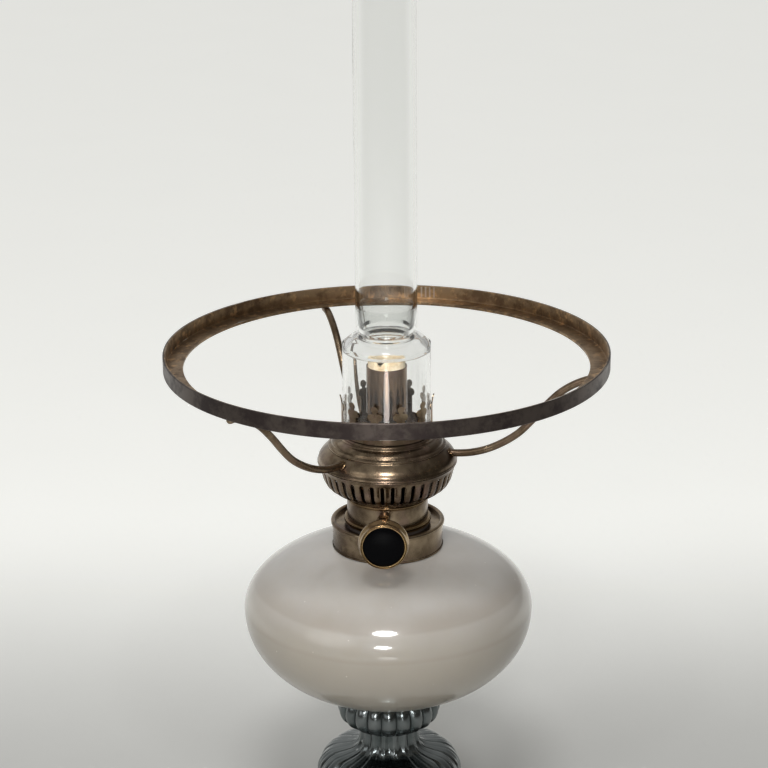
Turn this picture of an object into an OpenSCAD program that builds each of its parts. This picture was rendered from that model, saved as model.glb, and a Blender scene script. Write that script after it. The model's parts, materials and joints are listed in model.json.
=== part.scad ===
// Oil table lamp with a round-wick side-draught burner, a glass font on a cast foot,
// a clear chimney and a ring on three arms for a shade.
// Millimetres, +Z up. The origin is the middle of the foot's underside and the knob faces -Y.

/* [Foot] */
// Radius of the base casting
foot_r = 58; // [52:1:70]
// Height of the base casting
base_h = 22; // [20:1:30]
// Radius of the base casting's top, where the leafy dome stands
base_top_r = 31; // [28:0.5:34]
// Wall of the base casting
foot_wall = 3; // [2:0.5:4]
// Thickness of the felt pad
felt_t = 1.5; // [1:0.1:3]
// Thickness of the steel base plate
plate_t = 1.5; // [1:0.1:3]
// Height of the leafy dome with its waist
dome_h = 36.5; // [32:0.5:42]
// Largest radius of the leafy dome
dome_r = 33; // [32.5:0.5:40]
// Radius of the fluted waist under the cup
waist_r = 13.1; // [11:0.1:14]
// Number of leaves round the dome
leaf_count = 16; // [12:1:20]
// Depth of the grooves between leaves
leaf_depth = 1.1; // [0.4:0.1:1.6]

/* [Petal cup] */
// Height of the petal cup from the waist to its rim
cup_h = 16.4; // [15:0.2:20]
// Radius of the cup at the fullest part of a lobe
cup_r = 23.4; // [23:0.2:28]
// Radius of the cup's foot
cup_foot_r = 13.6; // [12.6:0.1:14]
// Number of lobes round the cup
lobe_count = 20; // [16:1:24]
// Depth of the creases between the lobes
scallop = 1.5; // [0.5:0.1:2]
// Thickness of the cup's floor
cup_floor = 4; // [3.5:0.5:5]

/* [Tie rod] */
// Radius of the rod that draws the stand together
rod_r = 3; // [2.5:0.1:3.5]
// Height of the nut at each end
nut_h = 4; // [3.5:0.1:4.5]
// Width of the nut across its flats
nut_w = 10; // [9:0.5:12]
// Radius of the washer under the lower nut
washer_r = 9; // [7:0.5:12]
// Thickness of the washer
washer_t = 1.2; // [0.8:0.1:2]

/* [Glass font] */
// Radius of the font at its widest
font_r = 64.4; // [58:0.2:70]
// Depth of the font below its widest line
font_low = 42.8; // [36:0.2:44]
// Height of the font above its widest line
font_up = 31.2; // [28:0.2:34]
// Fullness of the font's lower curve, where 2 is an ellipse
font_full = 2.1; // [2:0.05:2.6]
// Wall of the font
font_wall = 3; // [2:0.1:4]
// Outer radius of the glass neck
neck_r = 20.4; // [19.6:0.1:21.5]
// Height of the glass neck above the font's shoulder
neck_h = 7; // [5:0.5:8]
// Radius of the glass peg under the font
peg_r = 9; // [7:0.5:10]

/* [Collar] */
// Outer radius of the collar's skirt
collar_r = 24.3; // [23.5:0.1:26]
// Height of the collar
collar_h = 12.4; // [11:0.1:14]
// Radius of the bead rolled along the collar's rim
collar_bead = 1.1; // [0.8:0.1:1.4]
// Depth of the collar's top plate below its rim
collar_sink = 2.1; // [1:0.1:2.4]
// Wall of the collar
collar_wall = 0.8; // [0.6:0.1:1.2]
// Radius of the collar's thread hole
thread_r = 16.6; // [15.6:0.1:17]
// Depth of the thread sleeve in the collar
thread_h = 6; // [5:0.5:7]
// Thickness of the gasket under the burner
gasket_t = 1.3; // [0.8:0.1:2]

/* [Burner] */
// Radius of the drum
drum_r = 17.9; // [17:0.1:19]
// Height of the drum
drum_h = 8.4; // [7.8:0.1:10]
// Radius of the flange under the drum
flange_r = 19.2; // [18.6:0.1:20.5]
// Thickness of the flange under the drum
flange_t = 2.2; // [1.6:0.1:3]
// Wall of the pressed burner parts
tin = 0.6; // [0.4:0.05:0.8]
// Height of the bead ring on the drum
bead_h = 2.2; // [1.6:0.1:3]
// Largest radius of the basket and shell
shell_r = 30.4; // [29:0.1:32]
// Height of the slotted basket
basket_h = 15.6; // [14:0.1:18]
// Number of air slots
slot_count = 40; // [24:1:44]
// Width of an air slot
slot_w = 1.7; // [1:0.1:2]
// Height of the shell from the equator to the stepped cover
shell_h = 7; // [6.6:0.1:9]
// Radius where the stepped cover meets the shell
step_r = 26; // [25:0.1:28]
// Hollowness of the shell's curve, where 1 is an ellipse
shell_slope = 2.4; // [1:0.1:3]
// Height of the stepped cover
step_h = 7.2; // [6:0.1:8]
// Thickness of the gallery's floor
gallery_t = 0.8; // [0.6:0.1:1.2]
// Number of prongs that hold the chimney
prong_count = 11; // [8:1:14]
// Height of a prong above the gallery's floor
prong_h = 17; // [14:0.5:19]
// Width of a prong's stem
prong_w = 3.7; // [3:0.1:4.4]
// Width across a prong's side lobes
prong_head = 6.6; // [5:0.1:7]
// Outward bend of a prong's tip
prong_flare = 0.8; // [0:0.1:1.2]

/* [Wick and tubes] */
// Outer radius of the outer wick tube
tube_r = 8.9; // [8.6:0.1:9.4]
// Wall of the two wick tubes
tube_wall = 0.5; // [0.4:0.05:0.6]
// Height of the outer tube's rim above the gallery's floor
tube_up = 29.4; // [26:0.2:32]
// Outer radius of the inner draught tube
draught_r = 5.6; // [5.2:0.1:5.8]
// Clearance of the wick in its tubes
wick_gap = 0.2; // [0.15:0.05:0.3]
// Height of the wick above the tube's rim
wick_up = 3.6; // [2:0.2:5]
// Height of the wick's tail above the font's floor
wick_clear = 14; // [10:1:30]
// Width of the seam left open down the rolled wick
seam_w = 5; // [4.5:0.1:6]
// Furthest that the wick drops from where it stands
wick_drop = 5; // [3:0.2:6]

/* [Knob and spindle] */
// Radius of the spindle
spindle_r = 1.5; // [1.3:0.1:1.7]
// Sideways offset of the spindle from the lamp's axis
spindle_x = -1.8; // [-2.1:0.1:-1.3]
// Height of the spindle above the flange
spindle_up = 4.5; // [4.3:0.1:4.6]
// Clearance of the spindle in its bearings
bearing_gap = 0.06; // [0.04:0.01:0.1]
// Radius of the toothed feed wheels
cog_r = 3.5; // [3.2:0.1:3.6]
// Thickness of a feed wheel
cog_t = 0.8; // [0.6:0.1:1]
// Teeth on a feed wheel
cog_teeth = 12; // [8:1:16]
// Radius of the gland tube
gland_r = 2.7; // [2.5:0.1:3]
// Distance that the gland tube stands out of the drum
gland_out = 7; // [5:0.5:9]
// Radius of the knob
knob_r = 10.9; // [9.5:0.1:12]
// Thickness of the knob
knob_t = 7; // [6:0.5:8]
// Distance of the knob's face from the lamp's axis
knob_out = 49; // [44:0.5:54]
// Radius of the dark disc in the knob
disc_r = 8.8; // [7.5:0.1:9.2]

/* [Shade ring] */
// Outer radius of the shade ring
ring_r = 96.8; // [90:0.1:105]
// Height of the shade ring
ring_h = 7.15; // [6:0.05:9]
// Thickness of the shade ring
ring_t = 1.2; // [1:0.1:1.6]
// Width of the ring's inward ledge
ledge_w = 7.5; // [7:0.1:9]
// Height of the ring's top above the gallery's floor
ring_up = 37; // [34:0.2:42]
// Radius of an arm's wire
arm_r = 1.6; // [1.4:0.1:2.2]
// Radius of the flush head of the rivet that holds an arm to the ledge
rivet_r = 2.2; // [1.8:0.1:2.6]
// Bearing of the right arm, seen from above
arm_right_at = -11; // [-20:1:0]
// Bearing of the back arm, seen from above
arm_back_at = 108; // [100:1:120]
// Bearing of the left arm, seen from above
arm_left_at = 226; // [220:1:240]
// Length of the lap where the ring's band is joined
lap_w = 9; // [6:0.5:12]
// Bearing of the lap, seen from above
lap_at = 75; // [60:1:90]

/* [Chimney] */
// Height of the chimney
chimney_h = 240; // [200:5:260]
// Outer radius of the chimney's skirt
skirt_r = 19.25; // [19:0.05:19.3]
// Height of the skirt up to its shoulder
skirt_h = 36.5; // [33:0.5:39]
// Height of the rounded shoulder
shoulder_h = 6; // [4:0.5:8]
// Radius of the neck above the shoulder
pinch_r = 11.4; // [11:0.1:12.5]
// Height of the rounded foot of the upper tube
pinch_h = 17; // [14:0.5:20]
// Radius of the upper tube
glass_r = 13.4; // [13:0.1:14.5]
// Wall of the chimney
glass_t = 1.5; // [1.2:0.1:1.8]

/* [Hidden] */
$fn = 96;

// Clearance between fixed pieces, and between pieces that come apart
fit = 0.05;
gap = 0.3;
// Samples round one leaf or lobe, and the crease that parts two of them
leaf_steps = 5;

// Heights of the stand, from the floor up
z_cup = base_h + dome_h;
z_floor = z_cup + cup_floor;
z_font = z_cup + cup_h + gap;
z_peg = z_floor + nut_h + 0.5;
z_equator = z_font + font_low;
plate_r = foot_r - 4;
rod_hole_r = rod_r + 0.2;
z_rod_low = felt_t + 0.5;

// Heights of the collar and burner
z_collar = font_top(collar_r) + 0.2;
z_collar_rim = z_collar + collar_h;
z_seat = z_collar_rim - collar_sink;
z_flange = z_seat + gasket_t;
z_drum = z_flange + flange_t;
z_bead = z_drum + drum_h;
z_basket = z_bead + bead_h;
z_shell = z_basket + basket_h;
z_step = z_shell + shell_h;
z_gallery = z_step + step_h;
z_rim = z_gallery + tube_up;
z_ring = z_gallery + ring_up;
z_ledge = z_ring - ring_h;
z_spindle = z_drum + spindle_up;
screw_r = thread_r - gap;
z_screw = z_seat - thread_h + gap;

// Wick, between the two tubes
wick_out = tube_r - tube_wall - wick_gap;
wick_in = draught_r + wick_gap;
z_wick = z_rim + wick_up;
wick_len = z_wick - (z_font + font_wall + wick_clear);
z_web = z_spindle + cog_r + 1;
web_h = 12;
web_t = seam_w - 3;
seam_x = spindle_x + 0.5;
seam_top = z_web + web_h + wick_drop + 2;

// Knob, along the spindle
knob_back = knob_out - knob_t;
bezel_t = 0.5;

// Arms, from their holes in the shell out to the ledge, as shares of that reach and of that rise
ledge_r = ring_r - ring_t - ledge_w;
arm_hole_r = arm_r + fit;
arm_start_r = step_r + gap;
arm_end_r = ring_r - ring_t - ledge_w / 2 + 0.6;
rivet_at = arm_end_r - 2;
rivet_neck_r = 1.2;
rivet_head_h = ring_t - 0.4;
lap_t = 0.6;
lap_edge = 0.5;
z_arm_low = z_step - arm_r - 0.6;
z_arm_top = z_ledge - arm_r - fit;
arm_line = [[0, 0], [0.1, 0], [0.2, 0.022], [0.305, 0.081], [0.41, 0.18], [0.5, 0.3], [0.58, 0.455],
    [0.66, 0.63], [0.75, 0.8], [0.84, 0.915], [0.935, 0.99], [1, 1]];

// Outer line of the font above and below its widest line
function font_top(r) = z_equator + font_up * sqrt(1 - pow(r / font_r, 2));
function font_base(r) = z_equator - font_low * pow(1 - pow(r / font_r, font_full), 1 / font_full);

// One ring of points whose radius follows a number of leaves or lobes
function lobe_ring(count, r, z, depth) = [
    for (i = [0 : count * leaf_steps - 1])
    let (a = 360 * i / (count * leaf_steps), crease = 1 - abs(cos(count * a / 2)))
    [(r - depth * crease) * cos(a), (r - depth * crease) * sin(a), z]];

// Solid through rings of points, closed flat at both ends
module loft(rings) {
    n = len(rings[0]);
    m = len(rings);
    points = [for (ring = rings) for (p = ring) p];
    sides = [
        for (j = [0 : m - 2])
        for (i = [0 : n - 1])
        each [[j * n + i, (j + 1) * n + i, j * n + (i + 1) % n],
            [j * n + (i + 1) % n, (j + 1) * n + i, (j + 1) * n + (i + 1) % n]]];
    low = [for (i = [0 : n - 1]) i];
    top = [for (i = [n - 1 : -1 : 0]) (m - 1) * n + i];
    polyhedron(points, concat([low], sides, [top]));
}

// Round wire of a given radius along points in the XZ plane, with a round far end
module wire(path, radius, sides) {
    n = len(path);
    heading = path[n - 1] - path[n - 2];
    tip = [for (a = [30, 55, 75]) path[n - 1] + radius * sin(a) * heading / norm(heading)];
    spine = concat(path, tip);
    radii = concat([for (p = path) radius], [for (a = [30, 55, 75]) radius * cos(a)]);
    m = len(spine);
    rings = [
        for (k = [0 : m - 1])
        let (ahead = spine[min(k + 1, m - 1)] - spine[max(k - 1, 0)])
        let (d = ahead / norm(ahead), side = [-d[2], 0, d[0]])
        [for (i = [0 : sides - 1])
            let (a = 360 * i / sides)
            spine[k] + radii[k] * (cos(a) * side + sin(a) * [0, 1, 0])]];
    loft(rings);
}

// Point on a smooth curve through four points
function curve_point(a, b, c, d, t) = 0.5 * (2 * b + (c - a) * t + (2 * a - 5 * b + 4 * c - d) * t * t
    + (3 * b - 3 * c + d - a) * t * t * t);

// A list of points made finer along that curve
function finer(path, steps) = [
    for (k = [0 : len(path) - 2])
    for (s = [0 : steps - 1])
    curve_point(path[max(k - 1, 0)], path[k], path[k + 1], path[min(k + 2, len(path) - 1)], s / steps),
    path[len(path) - 1]];

module ring(inner, outer, low, high) {
    translate([0, 0, low])
        difference() {
            cylinder(r = outer, h = high - low);
            translate([0, 0, -1])
                cylinder(r = inner, h = high - low + 2);
        }
}

module felt_pad() {
    color([0.12, 0.25, 0.16])
        ring(washer_r + 4, plate_r, 0, felt_t);
}

module base_plate() {
    color("dimgray")
        ring(rod_hole_r, plate_r, felt_t, felt_t + plate_t);
}

// Turned and hollow base casting, with a recess for the plate
module foot_base() {
    z_recess = felt_t + plate_t;
    flare_low = 9;
    flare_r = foot_r - 6;
    bead_z = base_h - 3.6;
    bead_in = base_top_r + 0.8;
    color([0.42, 0.44, 0.44])
        rotate_extrude()
            polygon(concat(
                [[plate_r + fit, 0.4], [foot_r - 1, 0.4], [foot_r, 1.4], [foot_r, 4], [foot_r - 0.6, 5.6],
                    [foot_r - 2.2, 6.8], [foot_r - 4.4, 7.2], [flare_r, 7.8]],
                [for (t = [0.1 : 0.1 : 1]) [bead_in + (flare_r - bead_in) * pow(1 - t, 2.1),
                    flare_low + (bead_z - flare_low) * t]],
                [[base_top_r + 1.8, bead_z + 0.8], [base_top_r + 2.3, bead_z + 1.8],
                    [base_top_r + 1.8, bead_z + 2.8], [base_top_r, base_h], [rod_hole_r, base_h],
                    [rod_hole_r, base_h - foot_wall - 2], [bead_in - foot_wall - 4, base_h - foot_wall - 2]],
                [for (t = [0.9 : -0.2 : 0.1]) [bead_in - foot_wall - 4 + (flare_r - bead_in) * pow(1 - t, 2.1),
                    z_recess + (base_h - foot_wall - 2 - z_recess) * t]],
                [[plate_r - foot_wall, z_recess], [plate_r + fit, z_recess]]));
}

// Dome of leaves that narrows to the fluted waist, as radius, share of height and share of depth
dome_line = [[base_top_r, 0, 0], [base_top_r + 0.5 * (dome_r - base_top_r), 0.05, 0.4],
    [dome_r - 0.6, 0.19, 1], [dome_r, 0.35, 1], [dome_r - 0.7, 0.46, 1], [dome_r - 3, 0.56, 1],
    [dome_r - 6.5, 0.63, 1], [dome_r - 11, 0.66, 1], [waist_r + 7.3, 0.67, 1], [waist_r + 3.4, 0.705, 1],
    [waist_r + 1.2, 0.77, 0.9], [waist_r + 0.2, 0.88, 0.8], [waist_r + 0.1, 1, 0.7]];

module leaf_dome() {
    color([0.42, 0.44, 0.44])
        difference() {
            loft([for (p = dome_line)
                lobe_ring(leaf_count, p[0], base_h + p[1] * dome_h, p[2] * leaf_depth)]);
            translate([0, 0, base_h - 1])
                cylinder(r = rod_hole_r, h = dome_h + 2);
        }
}

module tie_rod() {
    color("silver")
        translate([0, 0, z_rod_low])
            cylinder(r = rod_r, h = z_floor + nut_h - z_rod_low);
}

module rod_washer() {
    color("silver")
        ring(rod_r + fit, washer_r, felt_t + plate_t, felt_t + plate_t + washer_t);
}

module hex_nut(low) {
    translate([0, 0, low])
        difference() {
            cylinder(r = nut_w / sqrt(3), h = nut_h, $fn = 6);
            translate([0, 0, -1])
                cylinder(r = rod_r + fit, h = nut_h + 2);
        }
}

module rod_nut() {
    color("silver")
        hex_nut(felt_t + plate_t + washer_t);
}

// Gadrooned cup that holds the font's peg, as radius, share of height and share of depth
seat_r = peg_r + 2.2;
seat_at = 0.7;
cup_line = [[cup_foot_r, 0, 0.1], [cup_foot_r + 2.4, 0.04, 0.3], [cup_r - 4.6, 0.14, 0.7],
    [cup_r - 1.9, 0.26, 1], [cup_r - 0.5, 0.42, 1], [cup_r, 0.6, 1], [cup_r - 0.6, 0.79, 1],
    [cup_r - 2.2, 0.95, 0.8], [cup_r - 3.8, 1, 0.5], [cup_r - 5.4, 0.95, 0.2], [seat_r + 0.6, seat_at, 0]];

module petal_cup() {
    color([0.45, 0.47, 0.47])
        difference() {
            loft([for (p = cup_line)
                lobe_ring(lobe_count, p[0], z_cup + p[1] * cup_h, p[2] * scallop)]);
            translate([0, 0, z_floor])
                cylinder(r = seat_r, h = cup_h);
            translate([0, 0, z_cup - 1])
                cylinder(r = rod_hole_r, h = cup_floor + 2);
        }
}

module cup_nut() {
    color("silver")
        hex_nut(z_floor);
}

// Cement round the font's peg
module peg_cement() {
    color("ivory")
        ring(peg_r + fit, seat_r - fit, z_peg, z_cup + seat_at * cup_h);
}

// Hollow glass font with its peg and neck
module glass_font() {
    lows = [for (k = [0 : 12]) let (a = 90 * k / 12) peg_r + (font_r - peg_r) * sin(a)];
    tops = [for (k = [0 : 12]) let (a = 90 * k / 12) neck_r + 3 + (font_r - neck_r - 3) * cos(a)];
    hollow_r = font_r - font_wall;
    hollow_low = font_low - font_wall;
    hollow_up = font_up - font_wall;
    bore_r = neck_r - font_wall;
    z_neck = z_collar + neck_h;
    color([0.78, 0.75, 0.68])
        rotate_extrude()
            polygon(concat(
                [[0, z_peg], [peg_r - 1, z_peg], [peg_r, z_peg + 1]],
                [for (r = lows) [r, font_base(r)]],
                [for (k = [1 : 12]) [tops[k], font_top(tops[k])]],
                [[neck_r, z_collar + 1.2], [neck_r, z_neck - 0.8], [neck_r - 0.8, z_neck],
                    [bore_r, z_neck], [bore_r, z_equator + hollow_up * sqrt(1 - pow(bore_r / hollow_r, 2))]],
                [for (k = [11 : -1 : -11]) let (a = 90 * k / 12, r = hollow_r * cos(a))
                    if (r > bore_r || k < 0)
                    [r, z_equator + (k > 0 ? hollow_up * sin(a) : hollow_low * sin(a))]],
                [[0, z_equator - hollow_low]]));
}

// Plaster between the glass neck and the collar
module neck_cement() {
    color("ivory")
        ring(neck_r + fit, collar_r - collar_wall - fit, z_collar + 1.4, z_collar + neck_h);
}

// Brass collar with a rolled rim and a sunken top plate that carries the thread sleeve
module font_collar() {
    inner = collar_r - collar_wall;
    bead_mid = collar_r - 0.2;
    z_bead_mid = z_collar_rim - collar_bead;
    color([0.45, 0.36, 0.24])
        rotate_extrude()
            polygon(concat(
                [[inner, z_collar], [collar_r + 0.3, z_collar], [collar_r + 0.3, z_collar + 0.8],
                    [collar_r, z_collar + 1.2]],
                [for (a = [-60 : 30 : 150])
                    [bead_mid + collar_bead * cos(a), z_bead_mid + collar_bead * sin(a)]],
                [[bead_mid - collar_bead, z_seat + 0.4], [bead_mid - collar_bead - 0.5, z_seat],
                    [thread_r, z_seat], [thread_r, z_seat - thread_h],
                    [thread_r + collar_wall, z_seat - thread_h],
                    [thread_r + collar_wall, z_seat - collar_wall], [inner, z_seat - collar_wall]]));
}

module burner_gasket() {
    color([0.2, 0.16, 0.13])
        ring(thread_r + 0.4, flange_r - 0.4, z_seat, z_flange);
}

// Screwed ring, flange and floor of the burner
module burner_screw() {
    color([0.5, 0.38, 0.24])
        rotate_extrude()
            polygon([[tube_r + fit, z_flange], [screw_r - 1, z_flange], [screw_r - 1, z_screw],
                [screw_r, z_screw], [screw_r, z_flange], [flange_r - 0.3, z_flange],
                [flange_r, z_flange + 0.4], [flange_r, z_drum - 0.6], [flange_r - 0.5, z_drum],
                [tube_r + fit, z_drum]]);
}

module along_spindle(from, to) {
    translate([spindle_x, -from, z_spindle])
        rotate([90, 0, 0])
            cylinder(r = $radius, h = to - from);
}

module burner_drum() {
    color([0.55, 0.43, 0.27])
        difference() {
            ring(drum_r - tin, drum_r, z_drum, z_bead);
            along_spindle(0, drum_r + 5, $radius = gland_r + fit);
        }
}

module bead_ring() {
    half = bead_h / 2;
    color([0.62, 0.5, 0.34])
        rotate_extrude()
            polygon([[drum_r - 1.4, z_bead], [drum_r + 0.1, z_bead], [drum_r + 0.1, z_bead + 0.3 * half],
                [drum_r + 0.5, z_bead + 0.6 * half], [drum_r + 0.6, z_bead + half],
                [drum_r + 0.5, z_bead + 1.4 * half], [drum_r, z_bead + 1.7 * half], [drum_r, z_basket],
                [drum_r - 1.4, z_basket]]);
}

// Slotted basket: its round line from the drum to the seam, as shares of its breadth and height
slot_from = 0.18;
slot_to = 0.86;
basket_in = drum_r - 1.4;
basket_line = concat([[basket_in, 0], [drum_r - 0.1, 0]],
    [for (p = [[0.116, 0.05], [0.262, 0.12], [0.455, 0.22], [0.665, 0.35], [0.775, 0.5], [0.83, 0.65],
        [0.885, 0.81], [0.95, 0.94], [1, 1]])
        [drum_r + p[0] * (shell_r - drum_r), p[1]]]);

module slot_cutter() {
    mouth_low = z_basket + slot_from * basket_h;
    mouth_high = z_basket + slot_to * basket_h;
    half = slot_w / 2;
    rotate([90, 0, 0])
        linear_extrude(height = shell_r + 3)
            polygon([[-half, mouth_low + half], [-0.4 * half, mouth_low], [0.4 * half, mouth_low],
                [half, mouth_low + half], [half, mouth_high - half], [0.4 * half, mouth_high],
                [-0.4 * half, mouth_high], [-half, mouth_high - half]]);
}

module air_basket() {
    color([0.6, 0.48, 0.32])
        difference() {
            rotate_extrude()
                polygon(concat(
                    [for (p = basket_line) [p[0], z_basket + p[1] * basket_h]],
                    [for (k = [len(basket_line) - 1 : -1 : 1])
                        let (p = basket_line[k])
                        [p[0] - tin, z_basket + min(p[1] * basket_h + 0.75 * tin, basket_h)]],
                    [[basket_in, z_basket + 0.75 * tin]]));
            for (k = [0 : slot_count - 1])
                rotate([0, 0, 360 * (k + 0.5) / slot_count])
                    slot_cutter();
        }
}

// Outer line of the shell from the lip at its seam to the stepped cover
seam_lip = 0.9;
function shell_line(t) = [step_r + (shell_r - step_r) * pow(cos(90 * t), shell_slope),
    z_shell + seam_lip + (shell_h - seam_lip) * sin(90 * t)];

module arm_hole(at) {
    rotate([0, 0, at])
        translate([0, 0, z_arm_low])
            rotate([0, 90, 0])
                cylinder(r = arm_hole_r, h = shell_r + 4);
}

module burner_shell() {
    color([0.62, 0.5, 0.34])
        difference() {
            rotate_extrude()
                polygon(concat(
                    [[shell_r - 1.6, z_shell], [shell_r + 0.2, z_shell], [shell_r + 0.35, z_shell + 0.4],
                        [shell_r + 0.1, z_shell + seam_lip]],
                    [for (t = [0.15 : 0.17 : 0.99]) shell_line(t)],
                    [[step_r, z_step], [step_r - 1.5, z_step], [step_r - 1.5, z_step - tin]],
                    [for (t = [0.99 : -0.17 : 0.15]) shell_line(t) - [1.1 * tin, tin]],
                    [[shell_r - 1.6, z_shell + tin]]));
            for (at = [arm_right_at, arm_back_at, arm_left_at])
                arm_hole(at);
        }
}

// Two steps from the shell up to the gallery, as shares of their breadth and height
cover_line = [[0.985, 0], [0.985, 0.09], [0.88, 0.18], [0.785, 0.23], [0.73, 0.36], [0.61, 0.48], [0.44, 0.57],
    [0.27, 0.62], [0.2, 0.7], [0.185, 0.82], [0.09, 0.91], [0.01, 0.96], [0, 1]];

module step_cover() {
    top_r = skirt_r + gap;
    breadth = step_r - top_r;
    rise = step_h - gallery_t;
    edge = [for (p = cover_line) [top_r + p[0] * breadth, z_step + p[1] * rise]];
    last = len(edge) - 1;
    color([0.66, 0.55, 0.38])
        rotate_extrude()
            polygon(concat(
                edge,
                [edge[last] - [tin, 0]],
                [for (k = [last - 1 : -1 : 1]) edge[k] - [tin, 0.75 * tin]],
                [edge[0] - [tin, 0]]));
}

// Outline of one prong, from the gallery's floor to its round tip
module prong_outline() {
    head_z = prong_h - 5.2;
    lobe = prong_head / 4;
    lobe_at = prong_head / 2 - lobe;
    right = concat(
        [[prong_w / 2, 0], [prong_w / 2, head_z - 0.8 * lobe]],
        [for (a = [-40 : 40 : 120]) [lobe_at + lobe * cos(a), head_z + lobe * sin(a)]],
        [[0.9, head_z + 2.2]],
        [for (a = [-30 : 40 : 90]) [1.6 * cos(a), prong_h - 1.6 + 1.6 * sin(a)]]);
    polygon(concat(right, [for (k = [len(right) - 2 : -1 : 0]) [-right[k][0], right[k][1]]]));
}

// Floor that the chimney stands on, with the crown of prongs round it
module prong_gallery() {
    wall_in = skirt_r + gap;
    wall_out = wall_in + 0.5;
    color([0.55, 0.43, 0.28]) {
        ring(tube_r + 2.5, wall_out, z_gallery - gallery_t, z_gallery);
        ring(wall_in, wall_out, z_gallery - 0.1, z_gallery + 2.6);
        intersection() {
            translate([0, 0, z_gallery])
                rotate_extrude()
                    polygon([[wall_in, -0.1], [wall_out, -0.1], [wall_out, prong_h - 4],
                        [wall_out + prong_flare, prong_h], [wall_in + prong_flare, prong_h],
                        [wall_in, prong_h - 4]]);
            for (k = [0 : prong_count - 1])
                rotate([0, 0, 75 + 360 * k / prong_count])
                    translate([0, 0, z_gallery])
                        rotate([90, 0, 0])
                            linear_extrude(height = skirt_r + 5)
                                prong_outline();
        }
    }
}

// Perforated plate that spreads the air and steadies the wick tube
module air_plate() {
    hole_at = (tube_r + step_r) / 2 - 1;
    color([0.5, 0.4, 0.26])
        difference() {
            ring(tube_r + fit, shell_r - 1.6 - fit, z_shell, z_shell + tin);
            for (k = [0 : 17])
                rotate([0, 0, 20 * k])
                    translate([hole_at, 0, z_shell - 1])
                        cylinder(r = 1.8, h = 3, $fn = 24);
        }
}

module outer_wick_tube() {
    color([0.5, 0.34, 0.22])
        difference() {
            ring(tube_r - tube_wall, tube_r, z_flange, z_rim);
            along_spindle(0, tube_r + 2, $radius = gland_r + fit);
        }
}

// Inner tube, held to the outer one by a web in the wick's seam
module draught_tube() {
    bore_r = tube_r - tube_wall - fit;
    color([0.5, 0.36, 0.24]) {
        ring(draught_r - tube_wall, draught_r, z_web, z_rim - 0.5);
        intersection() {
            ring(draught_r - tube_wall / 2, bore_r, z_web, z_web + web_h);
            translate([seam_x - web_t / 2, -tube_r, z_web])
                cube([web_t, tube_r, web_h]);
        }
    }
}

module gland_tube() {
    color([0.62, 0.46, 0.3])
        difference() {
            along_spindle(tube_r - 1.2, drum_r + gland_out, $radius = gland_r);
            along_spindle(0, drum_r + gland_out + 2, $radius = spindle_r + bearing_gap);
            cylinder(r = tube_r - tube_wall, h = z_rim);
        }
}

module gland_nut() {
    from = drum_r + gland_out - 3;
    color([0.66, 0.52, 0.34])
        difference() {
            translate([spindle_x, -from, z_spindle])
                rotate([90, 0, 0])
                    cylinder(r = gland_r + 1.3, h = 4, $fn = 6);
            along_spindle(from - 1, drum_r + gland_out + fit, $radius = gland_r + fit);
            along_spindle(from - 1, from + 6, $radius = spindle_r + bearing_gap);
        }
}

module arm(at) {
    reach = arm_end_r - arm_start_r;
    rise = z_arm_top - z_arm_low;
    spine = finer([for (p = arm_line) [arm_start_r + p[0] * reach, 0, z_arm_low + p[1] * rise]], 3);
    color([0.5, 0.36, 0.2])
        rotate([0, 0, at])
            wire(spine, arm_r, 10);
}

module arm_right() {
    arm(arm_right_at);
}

module arm_back() {
    arm(arm_back_at);
}

module arm_left() {
    arm(arm_left_at);
}

module shade_ring() {
    color([0.34, 0.29, 0.25])
        difference() {
            rotate_extrude()
                polygon([[ledge_r, z_ledge], [ring_r - 0.3, z_ledge], [ring_r, z_ledge + 0.3],
                    [ring_r, z_ring - 0.2], [ring_r - 0.2, z_ring], [ring_r - ring_t + 0.2, z_ring],
                    [ring_r - ring_t, z_ring - 0.2], [ring_r - ring_t, z_ledge + ring_t],
                    [ledge_r, z_ledge + ring_t]]);
            lap_sector(ring_r - ring_t - 1, fit);
            for (at = [arm_right_at, arm_back_at, arm_left_at])
                rotate([0, 0, at])
                    translate([rivet_at, 0, z_ledge]) {
                        translate([0, 0, -1])
                            cylinder(r = rivet_neck_r + fit, h = ring_t + 2);
                        translate([0, 0, ring_t - rivet_head_h])
                            cylinder(r1 = rivet_neck_r + fit, r2 = rivet_r + fit, h = rivet_head_h);
                    }
        }
}

// Sector in the thickness of the band where its two ends meet, from a radius outwards
module lap_sector(inner, spare) {
    spare_turn = spare / ring_r * 180 / PI;
    rotate([0, 0, lap_at - spare_turn])
        rotate_extrude(angle = lap_w / ring_r * 180 / PI + 2 * spare_turn)
            translate([inner, z_ledge + ring_t + lap_edge - spare])
                square([ring_r - ring_t + lap_t + spare - inner, ring_h - ring_t - 2 * lap_edge + 2 * spare]);
}

// Strip soldered into the inside of the band over its two ends, flush with its wall
module ring_lap() {
    color([0.3, 0.25, 0.2])
        lap_sector(ring_r - ring_t, 0);
}

// One countersunk rivet through the ledge onto the top of each arm, flush with the ledge
module arm_rivets() {
    color([0.5, 0.36, 0.2])
        for (at = [arm_right_at, arm_back_at, arm_left_at])
            rotate([0, 0, at])
                translate([rivet_at, 0, z_ledge])
                    rotate_extrude()
                        polygon([[0, 0], [rivet_neck_r, 0], [rivet_neck_r, ring_t - rivet_head_h],
                            [rivet_r, ring_t - fit / 2], [0, ring_t - fit / 2]]);
}

module spindle() {
    color([0.6, 0.45, 0.28])
        along_spindle(-3.2, knob_out - 1.6, $radius = spindle_r);
}

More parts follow.
